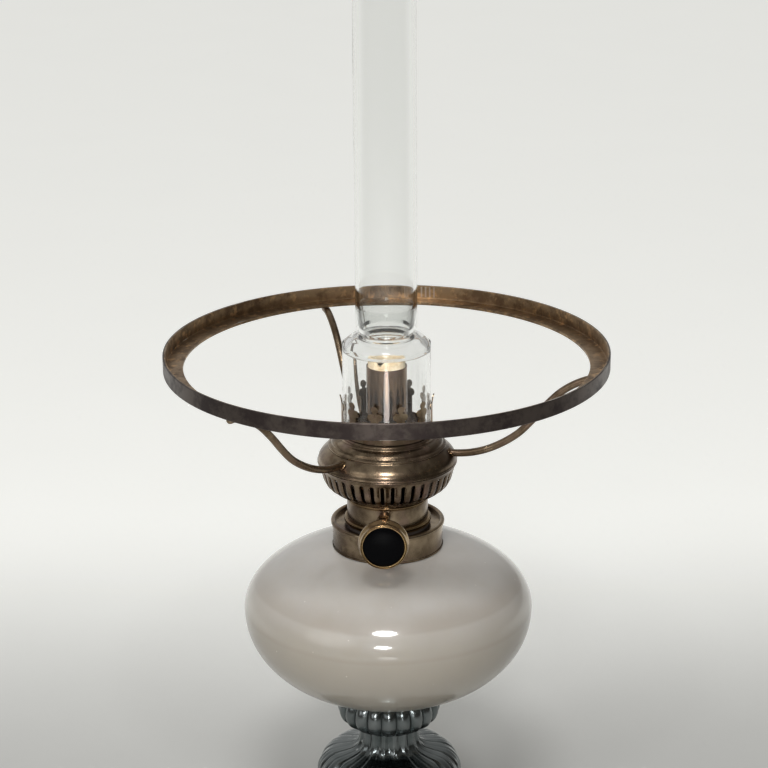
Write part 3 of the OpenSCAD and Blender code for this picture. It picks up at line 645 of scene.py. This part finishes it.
# %% Weave the slotted basket
SLOTS = 40
SLOT_WIDTH = 1.7
SLOT_FROM, SLOT_TO = 0.18, 0.86
BASKET_BOWL = [(0.116, 0.05), (0.262, 0.12), (0.455, 0.22), (0.665, 0.35), (0.775, 0.5),
               (0.83, 0.65), (0.885, 0.81), (0.95, 0.94), (1, 1)]
BASKET_SHEET = 0.6
RIB_COLUMNS = 5
RIB_CROWN = 0.16


def slot_half_width(height, low, high):
    """Half the width of a slot at a height, with round ends."""
    half = SLOT_WIDTH / 2
    inside = min(height - low, high - height)
    if inside <= 0:
        return 0
    return half * math.sqrt(1 - (1 - min(inside / half, 1)) ** 2)


def air_basket_piece():
    low, high, widest_r = reach("air_basket")
    drum_r = reach("burner_drum")[2]
    rise = high - low
    line = [(drum_r - 1.4, 0), (drum_r - 0.1, 0)]
    line += [(drum_r + share * (widest_r - drum_r), at) for share, at in BASKET_BOWL]
    run = smooth_run([Vector((r, low + at * rise)) for r, at in line], 0.34)
    slot_low, slot_high = low + SLOT_FROM * rise, low + SLOT_TO * rise
    mesh = bmesh.new()
    pitch = 2 * math.pi / SLOTS
    for k in range(SLOTS):
        middle = -math.pi / 2 + k * pitch
        rows = []
        for radius, height in run:
            half = slot_half_width(height, slot_low, slot_high)
            spread = pitch / 2 - math.asin(half / radius)
            crowned = RIB_CROWN * min(half / 0.6, 1)
            row = []
            for c in range(RIB_COLUMNS):
                side = 2 * c / (RIB_COLUMNS - 1) - 1
                angle = middle + side * spread
                out = radius + crowned * (1 - side * side) - RIB_CROWN
                row.append(mesh.verts.new((out * math.cos(angle) * MM,
                                           out * math.sin(angle) * MM, height * MM)))
            rows.append(row)
        strip(mesh, rows)
    bmesh.ops.remove_doubles(mesh, verts=mesh.verts, dist=5e-6)
    piece = as_piece("slotted_basket", mesh, "burner", "antique_brass", ("air_basket",))
    sheet = piece.modifiers.new("sheet", "SOLIDIFY")
    sheet.thickness, sheet.offset = BASKET_SHEET * MM, -1
    return piece


basket = air_basket_piece()
print("basket faces before its thickness:", len(basket.data.polygons))

# %% [markdown]
# The crown that grips the chimney was cut from a strip: a low wall, and eleven prongs with
# two round ears and a round tip. It is turned until its prongs stand where the photograph
# has them beside the wick tube. One function gives the half width of a prong at any
# height, as the largest of its stem, ears, neck and tip. The strip between the two edges
# is then bent round the axis, and its last few millimetres lean outwards.

# %% Cut the crown of prongs
PRONGS = 11
PRONG_ROWS, PRONG_COLUMNS = 96, 9
FIRST_PRONG = math.radians(-7.3)
CROWN_GAP, CROWN_SHEET = 0.3, 0.5
WALL_TOP, LEANING = 2.4, 4


def prong_half_width(height):
    """Half the width of a prong at a height above the gallery, in mm."""
    def disc(middle_x, middle_z, radius):
        rise = abs(height - middle_z)
        return middle_x + math.sqrt(radius ** 2 - rise ** 2) if rise < radius else 0
    stem = 1.85 if height < 11 else 0
    neck = 0.9 if height < 15.4 else 0
    return max(stem, neck, disc(1.65, 11.8, 1.65), disc(0, 15.4, 1.6))


def prong_crown():
    low, high, flared = reach("prong_gallery")
    floor_z, _, chimney_r = reach("chimney")
    top = high - floor_z
    inner, sheet = chimney_r + CROWN_GAP, CROWN_SHEET
    tube = reach("outer_wick_tube")[2]
    profile = [Vector(p) for p in (
        (tube + 2.5, low), (inner + sheet, low), (inner + sheet, floor_z + WALL_TOP),
        (inner + sheet / 2, floor_z + 2.6), (inner, floor_z + WALL_TOP), (inner, floor_z),
        (tube + 2.5, floor_z))]
    mesh = sweep(smooth_profile(profile, True, 3, radius=0.12), True, 176, upright)
    heights = [2.3 + (top - 2.3) * s / PRONG_ROWS for s in range(PRONG_ROWS + 1)]
    heights[-1] = top - 0.02
    for k in range(PRONGS):
        middle = FIRST_PRONG + 2 * math.pi * k / PRONGS
        faces = []
        for radius in (inner - 0.01, inner + sheet + 0.01):
            rows = []
            for height in heights:
                lean = max(0, height - top + LEANING) / LEANING * (flared - inner - sheet)
                out = radius + lean
                half = prong_half_width(height)
                row = []
                for c in range(PRONG_COLUMNS):
                    angle = middle + (2 * c / (PRONG_COLUMNS - 1) - 1) * half / out
                    row.append(mesh.verts.new((out * math.cos(angle) * MM,
                                               out * math.sin(angle) * MM,
                                               (floor_z + height) * MM)))
                rows.append(row)
            faces.append(rows)
        inside, outside = faces
        strip(mesh, inside)
        strip(mesh, outside)
        for a, b, c, d in zip(inside, inside[1:], outside, outside[1:]):
            mesh.faces.new((a[0], b[0], d[0], c[0]))
            mesh.faces.new((a[-1], c[-1], d[-1], b[-1]))
        for c in range(PRONG_COLUMNS - 1):
            mesh.faces.new((inside[-1][c], inside[-1][c + 1], outside[-1][c + 1], outside[-1][c]))
            mesh.faces.new((inside[0][c], outside[0][c], outside[0][c + 1], inside[0][c + 1]))
    return as_piece("prong_crown", mesh, "burner", "antique_brass", ("prong_gallery",))


crown = prong_crown()
print("faces in the crown:", len(crown.data.polygons))

# %% [markdown]
# The cup and the dome are castings whose lobes and leaves run round them. Both start from
# their packed profile, cut where a lobe is fullest. Away from that line the surface sinks
# towards the crease between two lobes, by a depth that changes up the piece.

# %% Sweep a profile with lobes
def lobed(profile, count, steps, sink):
    """Sweeps a profile whose radius sinks by sink(radius, height, part, across) mm."""
    mesh = bmesh.new()
    turns = count * steps
    rings = []
    for k in range(turns):
        angle = 2 * math.pi * k / turns
        across = (k % steps) / steps
        across = min(across, 1 - across) * 2
        ring = []
        for i, (radius, height) in enumerate(profile):
            out = radius - sink(radius, height, i / (len(profile) - 1), across)
            ring.append(mesh.verts.new(Vector(upright(out, height, angle)) * MM))
        rings.append(ring)
    skin(mesh, rings, closed=min(p[0] for p in profile) > 0.05)
    bmesh.ops.remove_doubles(mesh, verts=mesh.verts, dist=2e-6)
    return mesh


def eased(value, low, high):
    """0 below low, 1 above high and smooth in between."""
    share = min(max((value - low) / (high - low), 0), 1)
    return share * share * (3 - 2 * share)


# %% [markdown]
# The cup's lobes are fullest at its rim and fade towards its stem. Its inside, where the
# font rests, keeps only a little of them, just under the rim.

# %% Cast the petal cup
LOBES = 20
LOBE_DEPTH = 1.5


def petal_cup_piece():
    widest_r = reach("petal_cup")[2]
    profile = smooth_profile(cross_section("petal_cup"), True, 0.5, corner=60, radius=0.3)
    top = max(range(len(profile)), key=lambda i: profile[i][1])
    outwards = profile[top - 3][0] > profile[(top + 3) % len(profile)][0]

    def sink(radius, height, part, across):
        index = round(part * (len(profile) - 1))
        outside = (index <= top) == outwards
        share = eased(radius, widest_r - 12.5, widest_r - 2) if outside else eased(
            radius, widest_r - 7, widest_r - 2)
        crease = 1 - math.cos(across * math.pi / 2)
        return LOBE_DEPTH * share * crease
    mesh = lobed(profile, LOBES, 14, sink)
    return as_piece("petal_cup_casting", mesh, "stand", "pewter", ("petal_cup",))


petal_cup_piece()

# %% [markdown]
# Each leaf of the dome is broad, with a vein down its middle and a raised edge, and it runs
# up into a hollow flute at the waist. So the sinking has three parts: the groove between
# two leaves, the vein, and the hollow of the flute.

# %% Cast the leafy dome
LEAVES = 16
LEAF_DEPTH, VEIN_DEPTH, RIM_HEIGHT, FLUTE_DEPTH = 1.5, 0.45, 0.4, 0.95


def leaf_dome_piece():
    low, high, _ = reach("leaf_dome")
    rise = high - low
    waist_r = max(v.co.xy.length for v in nodes["leaf_dome"].data.vertices
                  if v.co.z / MM > high - 0.5) / MM
    profile = smooth_profile(cross_section("leaf_dome"), True, 0.45, corner=60, radius=0.3)

    def sink(radius, height, part, across):
        share = (height - low) / rise
        if radius < waist_r - 3 or share < 0.02:
            return 0
        flute = eased(share, 0.60, 0.80)
        leaf = eased(share, 0.03, 0.2) * (1 - flute)
        groove = 1 - math.cos(across * math.pi / 2)
        vein = VEIN_DEPTH * (1 - eased(across, 0.0, 0.16))
        rim = RIM_HEIGHT * eased(across, 0.60, 0.72) * (1 - eased(across, 0.76, 0.90))
        hollow = FLUTE_DEPTH * (1 - eased(across, 0.1, 0.92))
        return leaf * (LEAF_DEPTH * groove ** 1.5 + vein - rim) + flute * hollow
    mesh = lobed(profile, LEAVES, 24, sink)
    return as_piece("leaf_dome_casting", mesh, "stand", "pewter", ("leaf_dome",))


leaf_dome_piece()
print("castings made")

# %% [markdown]
# The arms are brass wire, bent in an S from the shell out to the ring. The bend is a list
# of shares of the arm's reach and rise. A circle is swept along the smooth curve through
# them, and each wire ends in a round tip.

# %% Bend the three arms
ARM_LINE = [(0, 0), (0.1, 0), (0.2, 0.022), (0.305, 0.081), (0.41, 0.18), (0.5, 0.3),
            (0.58, 0.455), (0.66, 0.63), (0.75, 0.8), (0.84, 0.915), (0.935, 0.99), (1, 1)]
ARMS = "arm_right", "arm_back", "arm_left"
ARM_SIDES = 24
ARM_INSIDE = 2


def packed_arm(node):
    """A packed arm's points in mm, its bearing, its lowest height and its wire's radius."""
    places = [v.co / MM for v in nodes[node].data.vertices]
    middle = sum((p.xy for p in places), Vector((0, 0)))
    start_r = min(p.xy.length for p in places)
    low = min(p.z for p in places)
    wire_r = (max(p.z for p in places if p.xy.length < start_r + 1) - low) / 2
    return places, math.atan2(middle.y, middle.x), low, wire_r


def bent_arm(node):
    """One arm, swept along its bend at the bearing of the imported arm."""
    places, bearing, low, wire_r = packed_arm(node)
    high = max(p.z for p in places)
    start = Vector((min(math.cos(bearing) * p.x + math.sin(bearing) * p.y for p in places)
                    - ARM_INSIDE, low + wire_r))
    end = Vector((max(p.xy.length for p in places) - wire_r, high - wire_r))
    spine = smooth_run([start + Vector((a * (end - start).x, b * (end - start).y))
                        for a, b in ARM_LINE], 0.9)
    heading = (spine[-1] - spine[-2]).normalized()
    steps = [math.radians(a) for a in (12, 24, 36, 48, 60, 70, 80, 88)]
    radius = [wire_r] * len(spine) + [wire_r * math.cos(a) for a in steps]
    spine += [spine[-1] + heading * wire_r * math.sin(a) for a in steps]
    mesh = bmesh.new()
    rings = []
    last = len(spine) - 1
    for k, point in enumerate(spine):
        ahead = (spine[min(k + 1, last)] - spine[max(k - 1, 0)]).normalized()
        up = Vector((-ahead.y, ahead.x))
        ring = []
        for s in range(ARM_SIDES):
            angle = 2 * math.pi * s / ARM_SIDES
            out = point + up * radius[k] * math.cos(angle)
            side = radius[k] * math.sin(angle)
            x = out.x * math.cos(bearing) - side * math.sin(bearing)
            y = out.x * math.sin(bearing) + side * math.cos(bearing)
            ring.append(mesh.verts.new(Vector((x, y, out.y)) * MM))
        rings.append(ring)
    for here, ahead in zip(rings, rings[1:]):
        for s in range(ARM_SIDES):
            t = (s + 1) % ARM_SIDES
            mesh.faces.new((here[s], here[t], ahead[t], ahead[s]))
    mesh.faces.new(rings[0])
    mesh.faces.new(rings[-1])
    return as_piece(node + "_wire", mesh, "burner", "arm_brass", (node,))


for node in ARMS:
    print(bent_arm(node).name)

# %% [markdown]
# Each arm is soldered into its hole, and the solder has left a small bright collar there.
# It lies along the shell, so it is a ring whose axis leans up by as much as the shell does.

# %% Solder collars where the arms enter
SHELL_LEANS = 38
HOLE_INSIDE = 1.9
SOLDER = 0.42
LUMPS = 0.12


def solder_collar(node):
    """A small swollen ring round an arm, on the surface of the shell."""
    _, bearing, low, wire_r = packed_arm(node)
    at = Vector((reach("burner_shell")[2] - HOLE_INSIDE, 0, low + wire_r))
    turn = Matrix.Rotation(bearing, 3, "Z")
    tilt = Matrix.Rotation(math.radians(90 - SHELL_LEANS), 3, "Y")

    def place(radius, height, angle):
        swell = 1 + LUMPS * math.sin(3 * angle + bearing)
        ring = Vector((radius * math.cos(angle) * swell, radius * math.sin(angle), height))
        return turn @ (at + tilt @ ring)
    section = [Vector((wire_r + 0.25 + SOLDER * math.cos(a), SOLDER * math.sin(a)))
               for a in (2 * math.pi * k / 10 for k in range(10))]
    mesh = sweep(section, True, 32, place)
    return as_piece(node + "_collar", mesh, "burner", "bright_brass")


for node in ARMS:
    print(solder_collar(node).name)

# %% [markdown]
# The wick is woven cotton tape rolled into a tube. Its lower part stays as packed, with the
# open seam that the web of the draught tube passes through. Its top is made again: the wall
# is uneven, the end is ragged and sunk where the seam gapes, and loose fibres stand up from
# it. Real fibres are finer than a pixel, so several hundred thin spikes stand in for them.
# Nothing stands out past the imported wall, so the wick still slides freely in its tube.

# %% Roll the wick
WICK_JOIN = 16
WICK_TURNS = 260
FIBRES = 900
RAGGED = 3.6
NOTCH_AT = math.radians(243)
NOTCH_SIDES = 0.03, 0.4
NOTCH_KEEPS = 0.3


def notched(height, angle, high):
    """The height of a point of the wick's end, pressed down where the seam gapes."""
    away = abs((angle - NOTCH_AT + math.pi) % (2 * math.pi) - math.pi)
    kept = NOTCH_KEEPS + (1 - NOTCH_KEEPS) * eased(away, *NOTCH_SIDES)
    base = high - RAGGED
    return base + (height - base) * kept if height > base else height


def rolled_wick():
    random.seed(7)
    _, high, outer = reach("wick")
    inner = min(v.co.xy.length for v in nodes["wick"].data.vertices) / MM
    join = high - WICK_JOIN
    mesh = bmesh.new()
    mesh.from_mesh(nodes["wick"].data)
    cut = bmesh.ops.bisect_plane(mesh, geom=mesh.verts[:] + mesh.edges[:] + mesh.faces[:],
                                 plane_co=(0, 0, join * MM), plane_no=(0, 0, 1), clear_outer=True)
    bmesh.ops.holes_fill(mesh, edges=[e for e in cut["geom_cut"]
                                      if isinstance(e, bmesh.types.BMEdge)])
    profile = [(outer, high - drop) for drop in (WICK_JOIN, 9, 5, RAGGED, 3.2, 2.8, 2.4, 2)]
    profile += [(outer - 0.05, high - 1.3), (outer - 0.25, high - 0.7),
                (outer - 0.6, high - 0.25), (outer - 1.2, high - 0.1),
                (inner + 0.6, high - 0.25), (inner + 0.25, high - 0.7),
                (inner + 0.05, high - 1.3), (inner, high - 3), (inner, high - 9), (inner, join)]
    rings = []
    for k in range(WICK_TURNS):
        angle = 2 * math.pi * k / WICK_TURNS
        ring = []
        for radius, height in profile:
            free = eased(height, high - 3.4, high - 0.5)
            at = Vector((math.cos(angle), math.sin(angle), 0)) * radius
            wave = noise.noise(at * 0.45) * 0.5 + noise.noise(at * 1.6) * 0.35
            rough = noise.noise(Vector((at.x, at.y, height)) * 1.9) * 0.4
            rough += noise.noise(Vector((at.x, at.y, height)) * 4.5) * 0.25
            bite = max(rough + 0.12, 0) * eased(height, high - RAGGED, high - RAGGED + 1)
            out = radius - bite if radius > (inner + outer) / 2 else radius + bite
            ring.append(mesh.verts.new(Vector(upright(
                out, notched(height + wave * free, angle, high), angle)) * MM))
        rings.append(ring)
    skin(mesh, rings, closed=True)
    for _ in range(FIBRES):
        angle = random.uniform(0, 2 * math.pi)
        radius = random.uniform(inner + 0.1, outer)
        drop = 0.5 * eased(abs(radius - (inner + outer) / 2), 0.6, 1.2)
        root = Vector(upright(radius, notched(high - 0.5 - drop, angle, high), angle))
        tip = root + Vector((random.gauss(0, 0.45), random.gauss(0, 0.45),
                             random.uniform(0.4, 1.3)))
        tip.xy = tip.xy.normalized() * min(max(tip.xy.length, inner), outer)
        side = Vector((random.uniform(-1, 1), random.uniform(-1, 1), 0)).normalized() * 0.06
        other = side.cross(Vector((0, 0, 1)))
        base = [mesh.verts.new((root + v) * MM) for v in (side, other, -side - other)]
        end = mesh.verts.new(tip * MM)
        for a, b in ((0, 1), (1, 2), (2, 0)):
            mesh.faces.new((base[a], base[b], end))
        mesh.faces.new(base)
    return as_piece("rolled_wick", mesh, "wick", "cotton_wick", ("wick",))


print("faces in the wick:", len(rolled_wick().data.polygons))

# %% [markdown]
# The photograph looks down on the lamp by about 19 degrees from a metre away, through a
# long lens, and leans by less than half a degree. The camera is placed from those figures
# and never asks for the render's size.

# %% Camera
LOOKS_DOWN, LEANS = math.radians(18.9), math.radians(-0.4)
camera_data = bpy.data.cameras.new("camera")
camera_data.sensor_width = 36
camera_data.lens = 113.8
camera = bpy.data.objects.new("camera", camera_data)
bpy.context.scene.collection.objects.link(camera)
camera.location = (-0.0012, -1.000, 0.56427)
tilt = Matrix.Rotation(math.pi / 2 - LOOKS_DOWN, 4, "X") @ Matrix.Rotation(LEANS, 4, "Z")
camera.rotation_euler = tilt.to_euler()
bpy.context.scene.camera = camera

# %% [markdown]
# The floor is a plain pale sheet, wide enough to fill the view. A little glow, which only
# the camera and reflections see, keeps it pale behind the lamp without lighting the lamp
# from below. Polished metal shows the room more than itself, so the world is graded too: it
# is pale behind the lamp, paler above than at eye level in front, and dim on the right.
#
# Four soft lamps do the rest. The key beside the camera and a second one higher up give the
# two highlights on the font and the bright patches down the middle of the metal. A broad
# one on the left is the fill. A small low strip is there for the wick tube alone: a
# standing wall seen from above mirrors what is below the horizon, and the strip is what
# it finds there.

# %% Floor, world and lamps
def floor_finish():
    finish = Finish("pale_floor")
    grain = finish.cloud(90, 3, seed=1.0)
    colour = finish.blend(grain, (0.58, 0.58, 0.56), (0.63, 0.63, 0.61))
    rays = [finish.node("ShaderNodeLightPath", out=f"Is {kind} Ray")
            for kind in ("Camera", "Glossy", "Transmission")]
    depth = finish.node("ShaderNodeSeparateXYZ", None, {"Vector": finish.place()}, out="Y")
    pale = finish.between(depth, 0.02, 0.42) * finish.between(rays[0] + rays[1] + rays[2], 0, 1)
    glow = finish.blend(pale, (0, 0, 0), (0.53, 0.532, 0.512))
    return finish.done(finish.shader(
        Base_Color=colour, Roughness=0.9, Specular_IOR_Level=0.2, Emission_Color=glow,
        Emission_Strength=1.0))


FLOOR_HALF = 9.0
grid = bmesh.new()
bmesh.ops.create_grid(grid, x_segments=4, y_segments=4, size=FLOOR_HALF)
floor_data = bpy.data.meshes.new("floor")
grid.to_mesh(floor_data)
grid.free()
floor = bpy.data.objects.new("floor", floor_data)
bpy.context.scene.collection.objects.link(floor)
floor_data.materials.append(floor_finish())

world = bpy.data.worlds.new("room")
bpy.context.scene.world = world
room = Finish("room", world)
heading = room.node("ShaderNodeTexCoord", out="Generated")
across, towards, up = (room.node("ShaderNodeSeparateXYZ", None, {"Vector": heading}, out=axis)
                       for axis in "XYZ")
front = room.blend(room.between(up, 0.2, 0.75), (0.13, 0.125, 0.115), (0.40, 0.40, 0.39))
room_colour = room.blend(room.between(towards, -0.1, 0.9), front, (0.62, 0.62, 0.61))
room_colour = room.blend(room.between(across, -0.25, 0.7) * 0.6, room_colour,
                         (0.06, 0.055, 0.045))
backdrop = room.node("ShaderNodeBackground", None, {"Color": room_colour, "Strength": 1.0})
room.node("ShaderNodeOutputWorld", None, {"Surface": backdrop})


def lamp(name, at, aim, wide, watts, tall=None):
    """A soft lamp that faces a point. It lights and is mirrored, but isn't seen itself."""
    data = bpy.data.lights.new(name, "AREA")
    data.shape = "ELLIPSE"
    data.size, data.size_y, data.energy = wide, tall or wide, watts
    made = bpy.data.objects.new(name, data)
    bpy.context.scene.collection.objects.link(made)
    made.location = at
    made.visible_camera = False
    made.rotation_euler = (Vector(aim) - Vector(at)).to_track_quat("-Z", "Y").to_euler()


BURNER_AT = (0, 0, 0.18)
lamp("key", (-0.08, -1.10, 0.64), BURNER_AT, 0.26, 4.0, tall=0.18)
lamp("high", (-0.04, -0.62, 1.00), BURNER_AT, 0.30, 4.5, tall=0.2)
lamp("side", (-0.9, -0.75, 0.8), BURNER_AT, 0.9, 2.5)
lamp("low_strip", (-0.005, -0.34, 0.106), (0, 0, 0.14), 0.09, 0.04, tall=0.044)
bpy.context.scene.view_settings.view_transform = "Standard"
